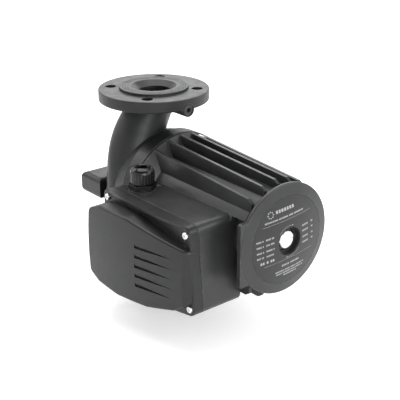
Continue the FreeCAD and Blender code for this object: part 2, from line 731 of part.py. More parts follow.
def housing_screws():
    """Four socket-head screws that hold the motor on the casing."""
    screws = []
    for x, z in joint_screw_places():
        shank = rod(x, z, JOINT_STATION - JOINT_SCREW_DEPTH + 1, MOTOR_FLANGE_FRONT, JOINT_SCREW_RADIUS)
        head_end = MOTOR_FLANGE_FRONT + JOINT_SCREW_HEAD_HEIGHT
        head = rod(x, z, MOTOR_FLANGE_FRONT, head_end, JOINT_SCREW_HEAD_RADIUS)
        socket = hexagon(Vector(x, -head_end, z), (0, 1, 0), 6.0, 4.0)
        screws.append(shank.fuse(head).cut(socket))
    return Part.makeCompound(screws)


def nameplate():
    """Thin domed label plate in the recess of the end disc."""
    inner = VENT_WELL_RADIUS + 0.2
    outer = LABEL_RADIUS - 0.3
    drop = LABEL_DEPTH - 0.7
    edges = [dome_edge(inner, outer, drop),
             Part.LineSegment(at(dome(outer, drop), outer), at(dome(outer, LABEL_DEPTH), outer)).toShape(),
             dome_edge(outer, inner, LABEL_DEPTH),
             Part.LineSegment(at(dome(inner, LABEL_DEPTH), inner), at(dome(inner, drop), inner)).toShape()]
    return turned_edges(edges)


# ------------------------------- vent plug ---------------------------------


def vent_bush():
    """Threaded bush that leads from the can to the vent plug."""
    back = CAN_END + CAN_WALL
    return turned([(back, 8.0), (back, VENT_BUSH_RADIUS), (VENT_WELL_FLOOR, VENT_BUSH_RADIUS),
                   (VENT_WELL_FLOOR, 9.6),
                   (VENT_WELL_FLOOR - 1.6, 9.6), (VENT_WELL_FLOOR - 1.6, VENT_THREAD_RADIUS + 0.3),
                   (VENT_WELL_FLOOR - 18, VENT_THREAD_RADIUS + 0.3), (VENT_WELL_FLOOR - 18, 8.0)])


def vent_plug():
    """Slotted plug that closes the vent and shows the shaft end when removed."""
    head_back = VENT_WELL_FLOOR + 0.3
    head_front = head_back + VENT_HEAD_HEIGHT
    body = turned([(head_back - VENT_SHANK, 0), (head_back - VENT_SHANK, VENT_THREAD_RADIUS - 1),
                   (head_back - VENT_SHANK + 1, VENT_THREAD_RADIUS), (head_back, VENT_THREAD_RADIUS),
                   (head_back, VENT_HEAD_RADIUS), (head_front - 0.6, VENT_HEAD_RADIUS),
                   (head_front, VENT_HEAD_RADIUS - 0.6), (head_front, 0)])
    return body.cut(block((-12, 12), (head_front - 1.4, head_front + 1), (-0.9, 0.9)))


def vent_plug_seal():
    return ring(VENT_WELL_FLOOR - 1.5, VENT_WELL_FLOOR, VENT_THREAD_RADIUS + 0.3, 9.3)


# --------------------------- terminal box cover ----------------------------

def pillow_outline(x, inset=0.0):
    wire = rounded_wire([Vector(x, -s, z) for s, z in PILLOW_OUTLINE], 8.0)
    return wire.makeOffset2D(-inset) if inset else wire


def pillow_x(station, z):
    """X of the pillow's spherical face."""
    across_face = (station - PILLOW_CREST) ** 2 + (z - PILLOW_CREST_Z) ** 2
    return PILLOW_REACH_X + PILLOW_SPHERE - math.sqrt(PILLOW_SPHERE ** 2 - across_face)


def pillow(inset=0.0):
    """Bulge of the cover: a prism under a spherical face, bevelled at the front."""
    prism = Part.Face(pillow_outline(COVER_RIM_X + 4.0, inset)).extrude(Vector(-40, 0, 0))
    centre = Vector(PILLOW_REACH_X + PILLOW_SPHERE, -PILLOW_CREST, PILLOW_CREST_Z)
    body = prism.common(Part.makeSphere(PILLOW_SPHERE - inset, centre))
    (base_x, base_s), (tip_x, tip_s) = PILLOW_BEVEL
    corners = [(base_x + 6, base_s + 4.1), (tip_x, tip_s), (tip_x, base_s + 20), (base_x + 6, base_s + 20)]
    points = [Vector(x, -s + inset, -110) for x, s in corners]
    return body.cut(Part.Face(Part.makePolygon(points + [points[0]])).extrude(Vector(0, 0, 160)))


def louvre(index):
    """Three-cornered recess: deepest at its lower back corner, running out forwards."""
    low = LOUVRE_FIRST_Z - LOUVRE_PITCH * index
    back = LOUVRE_START
    front = back + LOUVRE_LENGTH
    corners = [(back, low, LOUVRE_DEPTH), (front, low + LOUVRE_RISE, 0.0), (back, low + LOUVRE_HEIGHT, 0.0)]
    points = [Vector(pillow_x(s, z) + depth, -s, z) for s, z, depth in corners]
    return Part.Face(Part.makePolygon(points + [points[0]])).extrude(Vector(-20, 0, 0))


def cover_lip():
    """Lip along the top of the cover that bows outwards between the two screws."""
    centre = Vector(LIP_REACH_X + LIP_RADIUS, -LIP_MIDDLE, BOX_TOP - LIP_THICKNESS)
    bow = Part.makeCylinder(LIP_RADIUS, LIP_THICKNESS, centre)
    return bow.common(block((COVER_RIM_X + 1, COVER_RIM_X - 10), (50, 202), (0, BOX_TOP)))


def terminal_box_cover():
    outer = box_solid(COVER_SEAM_X, COVER_RIM_X)
    rim = [e for e in outer.Edges if e.BoundBox.XMax < COVER_RIM_X + 0.01]
    outer = outer.makeFillet(1.5, rim)
    bulge = pillow()
    soft = [e for e in bulge.Edges if e.BoundBox.XMax < COVER_RIM_X - 3 and e.BoundBox.YMin > -200]
    bulge = bulge.makeFillet(3.0, soft)
    pockets = [across(COVER_RIM_X - 30, COVER_RIM_X, s, z, 5.4) for s, z in COVER_SCREWS]
    outer = outer.fuse([bulge, cover_lip()]).cut(Part.makeCompound(pockets))
    inner = box_solid(COVER_SEAM_X + 1, COVER_RIM_X + COVER_WALL, BOX_WALL).fuse(pillow(COVER_WALL + 3.0))
    posts = [across(COVER_RIM_X + 1, COVER_SEAM_X, s, z, 5.0) for s, z in COVER_SCREWS]
    body = outer.cut(inner).fuse(posts)
    for s, z in COVER_SCREWS:
        body = body.cut(across(COVER_RIM_X - 5, COVER_SEAM_X + 1, s, z, 2.4))
    for k in range(LOUVRES):
        body = body.cut(louvre(k))
    return body


def cover_screws():
    """Pan-head screws of the cover, one at each corner."""
    screws = []
    for s, z in COVER_SCREWS:
        shank = across(COVER_RIM_X, BASE_EDGE_X + 10, s, z, 2.0)
        head = across(COVER_RIM_X - 2.6, COVER_RIM_X, s, z, 4.1)
        edge = [e for e in head.Edges if e.BoundBox.XMax < COVER_RIM_X - 2.5]
        head = head.makeFillet(1.2, edge)
        slot_a = block((COVER_RIM_X - 3, COVER_RIM_X - 1.4), (s - 2.4, s + 2.4), (z - 0.5, z + 0.5))
        slot_b = block((COVER_RIM_X - 3, COVER_RIM_X - 1.4), (s - 0.5, s + 0.5), (z - 2.4, z + 2.4))
        screws.append(head.fuse(shank).cut(slot_a.fuse(slot_b)))
    return Part.makeCompound(screws)


def box_gasket():
    outer = box_outline(BASE_EDGE_X, box_back(BASE_EDGE_X), 0.4)
    inner = box_outline(BASE_EDGE_X, box_back(BASE_EDGE_X), BOX_WALL - 0.3)
    thickness = Vector(GASKET_EDGE_X - BASE_EDGE_X, 0, 0)
    body = Part.Face(outer).extrude(thickness).cut(Part.Face(inner).extrude(thickness))
    for s, z in COVER_SCREWS:
        body = body.cut(across(GASKET_EDGE_X - 1, BASE_EDGE_X + 1, s, z, 3.0))
    return body


# ------------------------------- cable gland -------------------------------

GLAND_FOOT = BOX_TOP + PAD_HEIGHT
GLAND_SEAT = GLAND_FOOT + 1.2
HEX_TOP = GLAND_SEAT + GLAND_HEX_HEIGHT
COLLAR_TOP = HEX_TOP + 11.5
CAP_FOOT = HEX_TOP + 1.0
CAP_SHOULDER = CAP_FOOT + CAP_HEIGHT
CAP_TOP = CAP_SHOULDER + CAP_DOME


def gland_turned(points):
    """Solid turned about the gland's own axis from (radius, height) points."""
    vectors = [Vector(GLAND_X + r, -GLAND_STATION, z) for r, z in points]
    face = Part.Face(Part.makePolygon(vectors + [vectors[0]]))
    return face.revolve(Vector(GLAND_X, -GLAND_STATION, 0), Vector(0, 0, 1), 360)


def gland_body():
    low = BOX_TOP - 12.0
    tube = gland_turned([(GLAND_BORE_RADIUS, low), (GLAND_THREAD_RADIUS, low),
                         (GLAND_THREAD_RADIUS, GLAND_SEAT),
                         (GLAND_THREAD_RADIUS, HEX_TOP), (GLAND_COLLAR_RADIUS, HEX_TOP),
                         (GLAND_COLLAR_RADIUS, COLLAR_TOP), (GLAND_BORE_RADIUS, COLLAR_TOP)])
    hexed = hexagon(Vector(GLAND_X, -GLAND_STATION, GLAND_SEAT), (0, 0, 1), GLAND_HEX_FLATS, GLAND_HEX_HEIGHT)
    hexed = hexed.cut(upright(GLAND_X, GLAND_STATION, GLAND_SEAT - 1, HEX_TOP + 1, GLAND_BORE_RADIUS))
    return tube.fuse(hexed)


def gland_o_ring():
    return gland_turned([(GLAND_THREAD_RADIUS, GLAND_FOOT), (14.2, GLAND_FOOT), (14.2, GLAND_SEAT),
                         (GLAND_THREAD_RADIUS, GLAND_SEAT)])


def gland_locknut():
    high = BOX_TOP - BOX_WALL
    nut = hexagon(Vector(GLAND_X, -GLAND_STATION, high - 5), (0, 0, 1), 29.0, 5.0)
    return nut.cut(upright(GLAND_X, GLAND_STATION, high - 6, high + 1, GLAND_THREAD_RADIUS))


def gland_seal():
    return gland_turned([(5.5, COLLAR_TOP - 10), (7.7, COLLAR_TOP - 10), (7.7, COLLAR_TOP + 0.3),
                         (9.2, COLLAR_TOP + 0.3), (8.2, COLLAR_TOP + 4.3), (5.5, COLLAR_TOP + 4.3)])


def gland_cap_nut():
    """Ribbed cap nut with a rounded top around the cable hole."""
    low_inner = GLAND_COLLAR_RADIUS + 0.3
    cap = gland_turned([(low_inner, CAP_FOOT), (CAP_RADIUS - 0.5, CAP_FOOT), (CAP_RADIUS, CAP_FOOT + 0.5),
                        (CAP_RADIUS, CAP_SHOULDER), (CAP_RADIUS - 0.8, CAP_SHOULDER + 2.4),
                        (CAP_RADIUS - 2.4, CAP_SHOULDER + 4.4), (CAP_RADIUS - 4.6, CAP_TOP - 0.6),
                        (CAP_HOLE_RADIUS + 1.2, CAP_TOP), (CAP_HOLE_RADIUS, CAP_TOP - 0.8),
                        (CAP_HOLE_RADIUS, CAP_TOP - 3.5), (low_inner, CAP_SHOULDER + 1.5)])
    for k in range(CAP_RIBS):
        angle = math.radians(360 / CAP_RIBS * k)
        x = GLAND_X + (CAP_RADIUS + 0.4) * math.cos(angle)
        station = GLAND_STATION - (CAP_RADIUS + 0.4) * math.sin(angle)
        cap = cap.cut(upright(x, station, CAP_FOOT - 1, CAP_SHOULDER + 0.6, 1.0))
    return cap


# --------------------------- terminal box contents -------------------------

TERMINALS = 6
BLOCK_STATIONS = (110.0, 176.0)
BLOCK_X = (-62.0, -80.0)
BLOCK_Z = (-8.0, 14.0)
CAPACITOR_RADIUS = 15.0
CAPACITOR_STATIONS = (100.0, 168.0)
CAPACITOR_Z = -48.0
CAPACITOR_X = BOX_FLOOR_X - CAPACITOR_RADIUS - 1.5
GROMMET_STATION = 193.0
GROMMET_RADIUS = 6.0


def terminal_stations():
    first, last = BLOCK_STATIONS
    pitch = (last - first) / TERMINALS
    return [first + pitch * (k + 0.5) for k in range(TERMINALS)]


def terminal_block():
    body = block(BLOCK_X, BLOCK_STATIONS, BLOCK_Z)
    for s in terminal_stations():
        body = body.cut(across(BLOCK_X[1] - 1, BLOCK_X[1] + 9, s, 9.0, 2.6))
        body = body.cut(across(BLOCK_X[1] - 1, BLOCK_X[1] + 9, s, -3.0, 2.6))
        entry = (BLOCK_Z[1] - 6, BLOCK_Z[1] + 1)
        body = body.cut(block((BLOCK_X[0] - 12, BLOCK_X[0] - 6), (s - 2.6, s + 2.6), entry))
    return body


def terminal_screws():
    screws = []
    for s in terminal_stations():
        for z in (9.0, -3.0):
            screw = across(BLOCK_X[1] + 4, BLOCK_X[1] + 9, s, z, 2.5)
            slot = block((BLOCK_X[1] + 3.5, BLOCK_X[1] + 4.8), (s - 3, s + 3), (z - 0.4, z + 0.4))
            screws.append(screw.cut(slot))
    return Part.makeCompound(screws)


def capacitor():
    low, high = CAPACITOR_STATIONS
    can = rod(CAPACITOR_X, CAPACITOR_Z, low, high, CAPACITOR_RADIUS)
    can = can.makeFillet(1.5, [e for e in can.Edges if e.Length > 80])
    tags = [block((CAPACITOR_X - 0.4, CAPACITOR_X + 0.4), (high - 1, high + 8), (z - 3, z + 3))
            for z in (CAPACITOR_Z - 6, CAPACITOR_Z + 6)]
    return can.fuse(tags)


def capacitor_clip():
    """Spring band that holds the capacitor on the floor of the box."""
    middle = sum(CAPACITOR_STATIONS) / 2
    band = rod(CAPACITOR_X, CAPACITOR_Z, middle - 6, middle + 6, CAPACITOR_RADIUS + 1.2)
    band = band.cut(rod(CAPACITOR_X, CAPACITOR_Z, middle - 7, middle + 7, CAPACITOR_RADIUS))
    open_side = (CAPACITOR_Z - 20, CAPACITOR_Z + 20)
    band = band.cut(block((-120, CAPACITOR_X - 10), (middle - 7, middle + 7), open_side))
    feet = block((-62.0, -63.2), (middle - 6, middle + 6), (CAPACITOR_Z - 22, CAPACITOR_Z + 22))
    feet = feet.cut(rod(CAPACITOR_X, CAPACITOR_Z, middle - 7, middle + 7, CAPACITOR_RADIUS))
    return band.fuse(feet)


def earth_screw():
    head = across(-68.0, -64.5, 90.0, -30.0, 4.5)
    washer = across(-64.5, -63.3, 90.0, -30.0, 6.0)
    base = across(-63.3, BOX_FLOOR_X, 90.0, -30.0, 3.0)
    slot = block((-69, -67), (85, 95), (-30.6, -29.4))
    return head.fuse([washer, base]).cut(slot)


def lead_grommet():
    body = across(BOX_FLOOR_X - 2, -54.0, GROMMET_STATION, 0.0, GROMMET_RADIUS)
    body = body.fuse(across(BOX_FLOOR_X - 2, BOX_FLOOR_X, GROMMET_STATION, 0.0, GROMMET_RADIUS + 2.5))
    return body.cut(across(-70.0, -50.0, GROMMET_STATION, 0.0, 3.2))


def lead(z_end, radius_offset):
    """One motor lead: out of the grommet, round a bend, along to the terminal block."""
    start = Vector(-50.0, radius_offset * 0.5 - GROMMET_STATION, radius_offset)
    corner = Vector(-74.0, start.y, radius_offset)
    end = Vector(-74.0, -BLOCK_STATIONS[1] - 0.9, z_end)
    back = (start - corner).normalize()
    ahead = (end - corner).normalize()
    half = back.getAngle(ahead) / 2
    bend = 7.0
    reach = bend / math.tan(half)
    bisector = (back + ahead).normalize()
    middle = corner + bisector * (bend / math.sin(half) - bend)
    first = corner + back * reach
    last = corner + ahead * reach
    path = Part.Wire([Part.LineSegment(start, first).toShape(), Part.Arc(first, middle, last).toShape(),
                      Part.LineSegment(last, end).toShape()])
    section = Part.Wire(Part.Circle(start, Vector(-1, 0, 0), 1.2).toShape())
    return path.makePipeShell([section], True, True)


def motor_leads():
    return Part.makeCompound([lead(10.0, 1.6), lead(-4.0, -1.6)])


# --------------------------------- output ----------------------------------

NODES = {
    "pump_casing": pump_casing,
    "pressure_tap_plugs": pressure_tap_plugs,
    "wear_ring": wear_ring,
    "impeller": impeller,
    "impeller_nut": impeller_nut,
    "rotor_shaft": rotor_shaft,
    "thrust_washer": thrust_washer,
    "rotor_core": rotor_core,
    "rotor_end_rings": rotor_end_rings,
    "rotor_sleeve": rotor_sleeve,
    "rear_bearing": lambda: bearing_bush(REAR_BEARING),
    "front_bearing": lambda: bearing_bush(FRONT_BEARING),
    "front_bearing_holder": front_bearing_holder,
    "bearing_plate": bearing_plate,
    "casing_gasket": casing_gasket,
    "rotor_can": rotor_can,
    "stator_core": stator_core,
    "stator_windings": stator_windings,
    "motor_housing": motor_housing,
    "housing_screws": housing_screws,
    "nameplate": nameplate,
    "vent_bush": vent_bush,
    "vent_plug": vent_plug,
    "vent_plug_seal": vent_plug_seal,
    "box_gasket": box_gasket,
    "terminal_box_cover": terminal_box_cover,
    "cover_screws": cover_screws,
    "gland_body": gland_body,
    "gland_o_ring": gland_o_ring,
    "gland_locknut": gland_locknut,
    "gland_seal": gland_seal,
    "gland_cap_nut": gland_cap_nut,
    "terminal_block": terminal_block,
    "terminal_screws": terminal_screws,
    "capacitor": capacitor,
    "capacitor_clip": capacitor_clip,
    "earth_screw": earth_screw,
    "lead_grommet": lead_grommet,
    "motor_leads": motor_leads,
}


def write_nodes():
    os.makedirs("parts", exist_ok=True)
    for name, make in NODES.items():
        shape = make()
        shape.translate(Vector(0, 0, AXIS_HEIGHT))
        box = shape.BoundBox
        print(f"{name:22s} solids {len(shape.Solids):2d} valid {shape.isValid()} volume {shape.Volume:9.0f} "
              f"x {box.XMin:7.1f} {box.XMax:7.1f} y {box.YMin:7.1f} {box.YMax:7.1f} "
              f"z {box.ZMin:7.1f} {box.ZMax:7.1f}")
        shape.exportStep(f"parts/{name}.step")


write_nodes()
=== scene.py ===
import json
import math

import bmesh
import bpy
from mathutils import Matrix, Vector


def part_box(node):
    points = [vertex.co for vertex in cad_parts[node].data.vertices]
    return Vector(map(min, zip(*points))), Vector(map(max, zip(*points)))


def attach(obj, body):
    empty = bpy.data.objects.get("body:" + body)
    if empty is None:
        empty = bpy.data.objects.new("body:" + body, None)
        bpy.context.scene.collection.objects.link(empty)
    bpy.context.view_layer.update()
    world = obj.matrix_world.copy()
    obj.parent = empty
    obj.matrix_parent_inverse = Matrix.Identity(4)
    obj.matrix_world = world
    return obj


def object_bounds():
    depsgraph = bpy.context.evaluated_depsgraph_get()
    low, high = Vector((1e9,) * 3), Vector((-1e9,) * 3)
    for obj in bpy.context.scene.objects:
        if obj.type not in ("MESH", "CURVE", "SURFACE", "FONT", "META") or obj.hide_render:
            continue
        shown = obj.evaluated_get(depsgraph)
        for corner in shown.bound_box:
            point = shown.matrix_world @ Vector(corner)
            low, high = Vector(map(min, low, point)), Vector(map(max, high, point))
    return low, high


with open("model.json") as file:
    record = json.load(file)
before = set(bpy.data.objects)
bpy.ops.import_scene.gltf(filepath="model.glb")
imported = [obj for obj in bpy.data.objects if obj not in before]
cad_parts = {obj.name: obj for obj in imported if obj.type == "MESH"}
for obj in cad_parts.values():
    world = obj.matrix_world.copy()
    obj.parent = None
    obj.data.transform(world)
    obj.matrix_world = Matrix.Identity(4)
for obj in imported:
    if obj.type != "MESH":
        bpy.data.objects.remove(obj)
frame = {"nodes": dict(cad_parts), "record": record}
CAD_LOW, CAD_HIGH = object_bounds()

# ---------------------------------------------------------------------------
# Looks of the in-line circulator pump. Row frame, metres: pipe axis along +Z,
# motor axis along -Y, terminal box towards -X.
# ---------------------------------------------------------------------------

MM = 0.001
NOISE_LOW, NOISE_HIGH = 0.3, 0.7       # the span that most of a noise texture's values fall in
EDGE_FLAT, EDGE_SHARP = 0.985, 0.86    # rounded normal against true normal, on flat ground and on an edge


# ------------------------------ finishes -----------------------------------

class Finish:
    """A material under construction, with its principled shader at the end."""

    def __init__(self, name, color, roughness, metallic=0.0):
        self.material = bpy.data.materials.new(name)
        self.material.use_nodes = True
        self.material.diffuse_color = (*color, 1.0)
        self.tree = self.material.node_tree
        self.shader = self.tree.nodes["Principled BSDF"]
        self.shader.inputs["Base Color"].default_value = (*color, 1.0)
        self.shader.inputs["Roughness"].default_value = roughness
        self.shader.inputs["Metallic"].default_value = metallic
        self.color = color
        self.roughness = roughness
        self.normal = None
        self.place = self.add("ShaderNodeTexCoord").outputs["Object"]

    def add(self, kind, inputs=None, **settings):
        """A node with its settings; an input is a value or the socket that feeds it."""
        node = self.tree.nodes.new(kind)
        for key, value in settings.items():
            setattr(node, key, value)
        for key, value in (inputs or {}).items():
            if isinstance(value, bpy.types.NodeSocket):
                self.tree.links.new(value, node.inputs[key])
            else:
                node.inputs[key].default_value = value
        return node

    def noise(self, size, detail=4.0, stretch=None, rough=0.55):
        """Noise whose blotches are about that many metres across."""
        place = self.place
        if stretch:
            place = self.add("ShaderNodeVectorMath", {0: place, 1: stretch},
                             operation="MULTIPLY").outputs[0]
        node = self.add("ShaderNodeTexNoise", {"Vector": place, "Scale": 1 / size, "Detail": detail,
                                               "Roughness": rough})
        return node.outputs["Fac"]

    def remap(self, value, low, high, to_low=0.0, to_high=1.0):
        node = self.add("ShaderNodeMapRange", {"Value": value, "From Min": low, "From Max": high,
                                               "To Min": to_low, "To Max": to_high})
        return node.outputs["Result"]

    def math(self, operation, a, b=0.0):
        return self.add("ShaderNodeMath", {0: a, 1: b}, operation=operation).outputs[0]

    def mix(self, factor, first, second):
        node = self.add("ShaderNodeMix", {"Factor": factor}, data_type="RGBA")
        for socket, value in ((node.inputs[6], first), (node.inputs[7], second)):
            if isinstance(value, bpy.types.NodeSocket):
                self.tree.links.new(value, socket)
            else:
                socket.default_value = (*value, 1.0)
        return node.outputs[2]

    def bump(self, height, depth, strength=1.0):
        """Adds relief, depth in metres between height 0 and 1."""
        inputs = {"Height": height, "Distance": depth, "Strength": strength}
        if self.normal:
            inputs["Normal"] = self.normal
        self.normal = self.add("ShaderNodeBump", inputs).outputs["Normal"]

    def soft_edges(self, radius, samples=6):
        """Rounds sharp edges in the shading by a radius in metres."""
        self.normal = self.add("ShaderNodeBevel", {"Radius": radius}, samples=samples).outputs["Normal"]

    def edge_mask(self, radius, samples=4):
        """1 on sharp edges, 0 on flat ground."""
        rounded = self.add("ShaderNodeBevel", {"Radius": radius}, samples=samples).outputs["Normal"]
        flat = self.add("ShaderNodeNewGeometry").outputs["Normal"]
        dot = self.add("ShaderNodeVectorMath", {0: rounded, 1: flat}, operation="DOT_PRODUCT")
        return self.remap(dot.outputs["Value"], EDGE_FLAT, EDGE_SHARP)

    def vary(self, size, amount, dark=0.82, light=1.2):
        """Slow change of colour and roughness over the surface."""
        slow = self.remap(self.noise(size, 5.0), NOISE_LOW, NOISE_HIGH)
        shade = [tuple(c * k for c in self.color) for k in (dark, light)]
        color = self.mix(slow, *shade)
        fine = self.noise(size * 0.37, 6.0)
        rough = self.remap(fine, NOISE_LOW, NOISE_HIGH, self.roughness - amount, self.roughness + amount)
        self.tree.links.new(rough, self.shader.inputs["Roughness"])
        return color

    def done(self, color=None, **sockets):
        if color is not None:
            self.tree.links.new(color, self.shader.inputs["Base Color"])
        if self.normal:
            self.tree.links.new(self.normal, self.shader.inputs["Normal"])
        for name, value in sockets.items():
            self.shader.inputs[name.replace("_", " ")].default_value = value
        return self.material


def paint(name, color, roughness, peel, peel_depth, cast=0.0, wear=0.12, edge=0.0006):
    """Black coating on metal: orange peel, casting undulation, rubbed edges."""
    f = Finish(name, color, roughness)
    base = f.vary(0.03, 0.05)
    mask = f.math("MULTIPLY", f.edge_mask(edge * 1.6), f.remap(f.noise(0.004, 6.0), 0.42, 0.66))
    worn = tuple(c + wear for c in color)
    base = f.mix(mask, base, worn)
    f.soft_edges(edge)
    if cast:
        f.bump(f.noise(0.009, 3.0), cast)
        f.bump(f.noise(0.0022, 5.0, rough=0.65), cast * 0.35)
    f.bump(f.noise(peel, 3.0), peel_depth)
    return f.done(base, Specular_IOR_Level=0.4)


def moulding(name, color, roughness, grain, grain_depth, edge=0.0005, vary=0.04):
    """Moulded plastic with a fine grain."""
    f = Finish(name, color, roughness)
    base = f.vary(0.02, vary, 0.9, 1.12)
    f.soft_edges(edge)
    if grain_depth:
        cells = f.add("ShaderNodeTexVoronoi", {"Vector": f.place, "Scale": 1 / grain}, feature="SMOOTH_F1")
        f.bump(cells.outputs["Distance"], grain_depth)
    f.bump(f.noise(0.012, 2.0), 0.00003)
    return f.done(base, Specular_IOR_Level=0.4)


def metal(name, color, roughness, stretch=None, scratch=0.0006, depth=0.000012, edge=0.0003, vary=0.07):
    """Bare or plated metal with fine working marks."""
    f = Finish(name, color, roughness, metallic=1.0)
    base = f.vary(0.006, vary, 0.9, 1.05)
    f.soft_edges(edge, 4)
    f.bump(f.noise(scratch, 5.0, stretch), depth)
    return f.done(base)


def turned_metal(name, color, roughness, centre, pitch, depth, edge=0.0003):
    """Turned face: fine rings about an axis along Y through the centre."""
    f = Finish(name, color, roughness, metallic=1.0)
    base = f.vary(0.004, 0.05, 0.93, 1.03)
    f.soft_edges(edge, 4)
    local = f.add("ShaderNodeVectorMath", {0: f.place, 1: centre}, operation="SUBTRACT").outputs[0]
    rings = f.add("ShaderNodeTexWave", {"Vector": local, "Scale": math.pi / (10 * pitch), "Distortion": 0.6,
                                        "Detail": 2.0}, wave_type="RINGS", rings_direction="Y")
    f.bump(rings.outputs["Fac"], depth)
    return f.done(base)


def laminated(name, color, pitch):
    """Stack of thin steel sheets along the motor axis."""
    f = Finish(name, color, 0.5, metallic=0.8)
    base = f.vary(0.008, 0.08, 0.7, 1.2)
    bands = f.add("ShaderNodeTexWave", {"Vector": f.place, "Scale": math.pi / (10 * pitch)},
                  bands_direction="Y")
    lines = f.remap(bands.outputs["Fac"], 0.0, 0.35)
    base = f.mix(lines, tuple(c * 0.35 for c in color), base)
    f.bump(lines, 0.00006)
    return f.done(base)


def wound(name, color, pitch):
    """Varnished wire bundles."""
    f = Finish(name, color, 0.3, metallic=0.55)
    base = f.vary(0.005, 0.06, 0.6, 1.3)
    waves = f.add("ShaderNodeTexWave", {"Vector": f.place, "Scale": math.pi / (10 * pitch), "Distortion": 1.5,
                                        "Detail": 1.0}, bands_direction="DIAGONAL")
    f.bump(waves.outputs["Fac"], 0.0002)
    return f.done(base, Coat_Weight=0.6, Coat_Roughness=0.15)


def rubber(name, color):
    f = Finish(name, color, 0.62)
    base = f.vary(0.01, 0.08, 0.8, 1.4)
    f.soft_edges(0.0003, 4)
    f.bump(f.noise(0.0007, 4.0), 0.00003)
    return f.done(base)


def make_finishes():
    low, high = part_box("vent_plug")
    middle = (low + high) / 2
    return {
        "cast_paint": paint("cast_paint", (0.009, 0.0092, 0.0097), 0.42,
                            peel=0.0012, peel_depth=0.00004, cast=0.00035),
        "housing_paint": paint("housing_paint", (0.025, 0.0253, 0.0262), 0.37,
                               peel=0.0010, peel_depth=0.00003, cast=0.00008),
        "cover_plastic": moulding("cover_plastic", (0.009, 0.0092, 0.0096), 0.40,
                                  grain=0.0008, grain_depth=0.00003),
        "gland_plastic": moulding("gland_plastic", (0.006, 0.006, 0.0063), 0.22,
                                  grain=0.0006, grain_depth=0.0, vary=0.05),
        "label_face": moulding("label_face", (0.018, 0.0182, 0.0188), 0.42,
                               grain=0.0005, grain_depth=0.00001),
        "bright_chrome": turned_metal("bright_chrome", (0.72, 0.72, 0.72), 0.26,
                                      centre=middle, pitch=0.0004, depth=0.00001),
        "zinc_steel": metal("zinc_steel", (0.78, 0.78, 0.79), 0.28),
        "seal_plug": paint("seal_plug", (0.03, 0.03, 0.032), 0.35, peel=0.0008, peel_depth=0.00002),
        "stainless": metal("stainless", (0.62, 0.61, 0.6), 0.28, stretch=(1.0, 0.1, 1.0)),
        "impeller_plastic": moulding("impeller_plastic", (0.09, 0.088, 0.085), 0.5,
                                     grain=0.0009, grain_depth=0.00003),
        "ceramic": moulding("ceramic", (0.78, 0.76, 0.70), 0.18, grain=0.0005, grain_depth=0.0, vary=0.03),
        "carbon": moulding("carbon", (0.045, 0.045, 0.047), 0.42, grain=0.0004, grain_depth=0.00002),
        "rotor_iron": laminated("rotor_iron", (0.30, 0.29, 0.28), pitch=0.0007),
        "plain_aluminium": metal("plain_aluminium", (0.80, 0.80, 0.81), 0.36, vary=0.1),
        "copper_enamel": wound("copper_enamel", (0.55, 0.22, 0.07), pitch=0.0009),
        "brass_part": metal("brass_part", (0.74, 0.54, 0.24), 0.26, stretch=(1.0, 0.15, 1.0)),
        "seal_rubber": rubber("seal_rubber", (0.018, 0.018, 0.018)),
        "block_plastic": moulding("block_plastic", (0.62, 0.61, 0.57), 0.42,
                                  grain=0.0007, grain_depth=0.00002),
        "capacitor_plastic": moulding("capacitor_plastic", (0.72, 0.71, 0.66), 0.38,
                                      grain=0.0007, grain_depth=0.00001),
        "lead_insulation": moulding("lead_insulation", (0.22, 0.07, 0.03), 0.4,
                                    grain=0.0006, grain_depth=0.0),
    }


FINISHES = make_finishes()


def dress_nodes():
    """Gives each CAD node the finish of its slot in the record."""
    for row in frame["record"]["subparts"]:
        mesh = frame["nodes"][row["node"]].data
        mesh.materials.clear()
        mesh.materials.append(FINISHES[row["material_slot"]])


# ------------------------------ label print --------------------------------

LABEL_LOW, LABEL_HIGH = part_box("nameplate")
LABEL_DOME = 250.0 * MM
VENT_OPENING = 16.8 * MM
MOTOR_AXIS_Z = (LABEL_LOW.z + LABEL_HIGH.z) / 2
LABEL_TILT = math.radians(4.2)
PRINT_LIFT = 0.06 * MM
PRINT_THICKNESS = 0.05 * MM
BAR_LENGTH = 4.0    # millimetres of a rule in one plate
ARC_STEP = 6.0      # degrees of an arc in one plate


def label_surface(x, z):
    """Point of the domed label face at that x and height above the motor axis."""
    crown = Vector((0, LABEL_LOW.y, MOTOR_AXIS_Z))
    rise = math.sqrt(LABEL_DOME ** 2 - VENT_OPENING ** 2) - math.sqrt(LABEL_DOME ** 2 - x * x - z * z)
    return crown + Vector((x, rise - PRINT_LIFT, z))


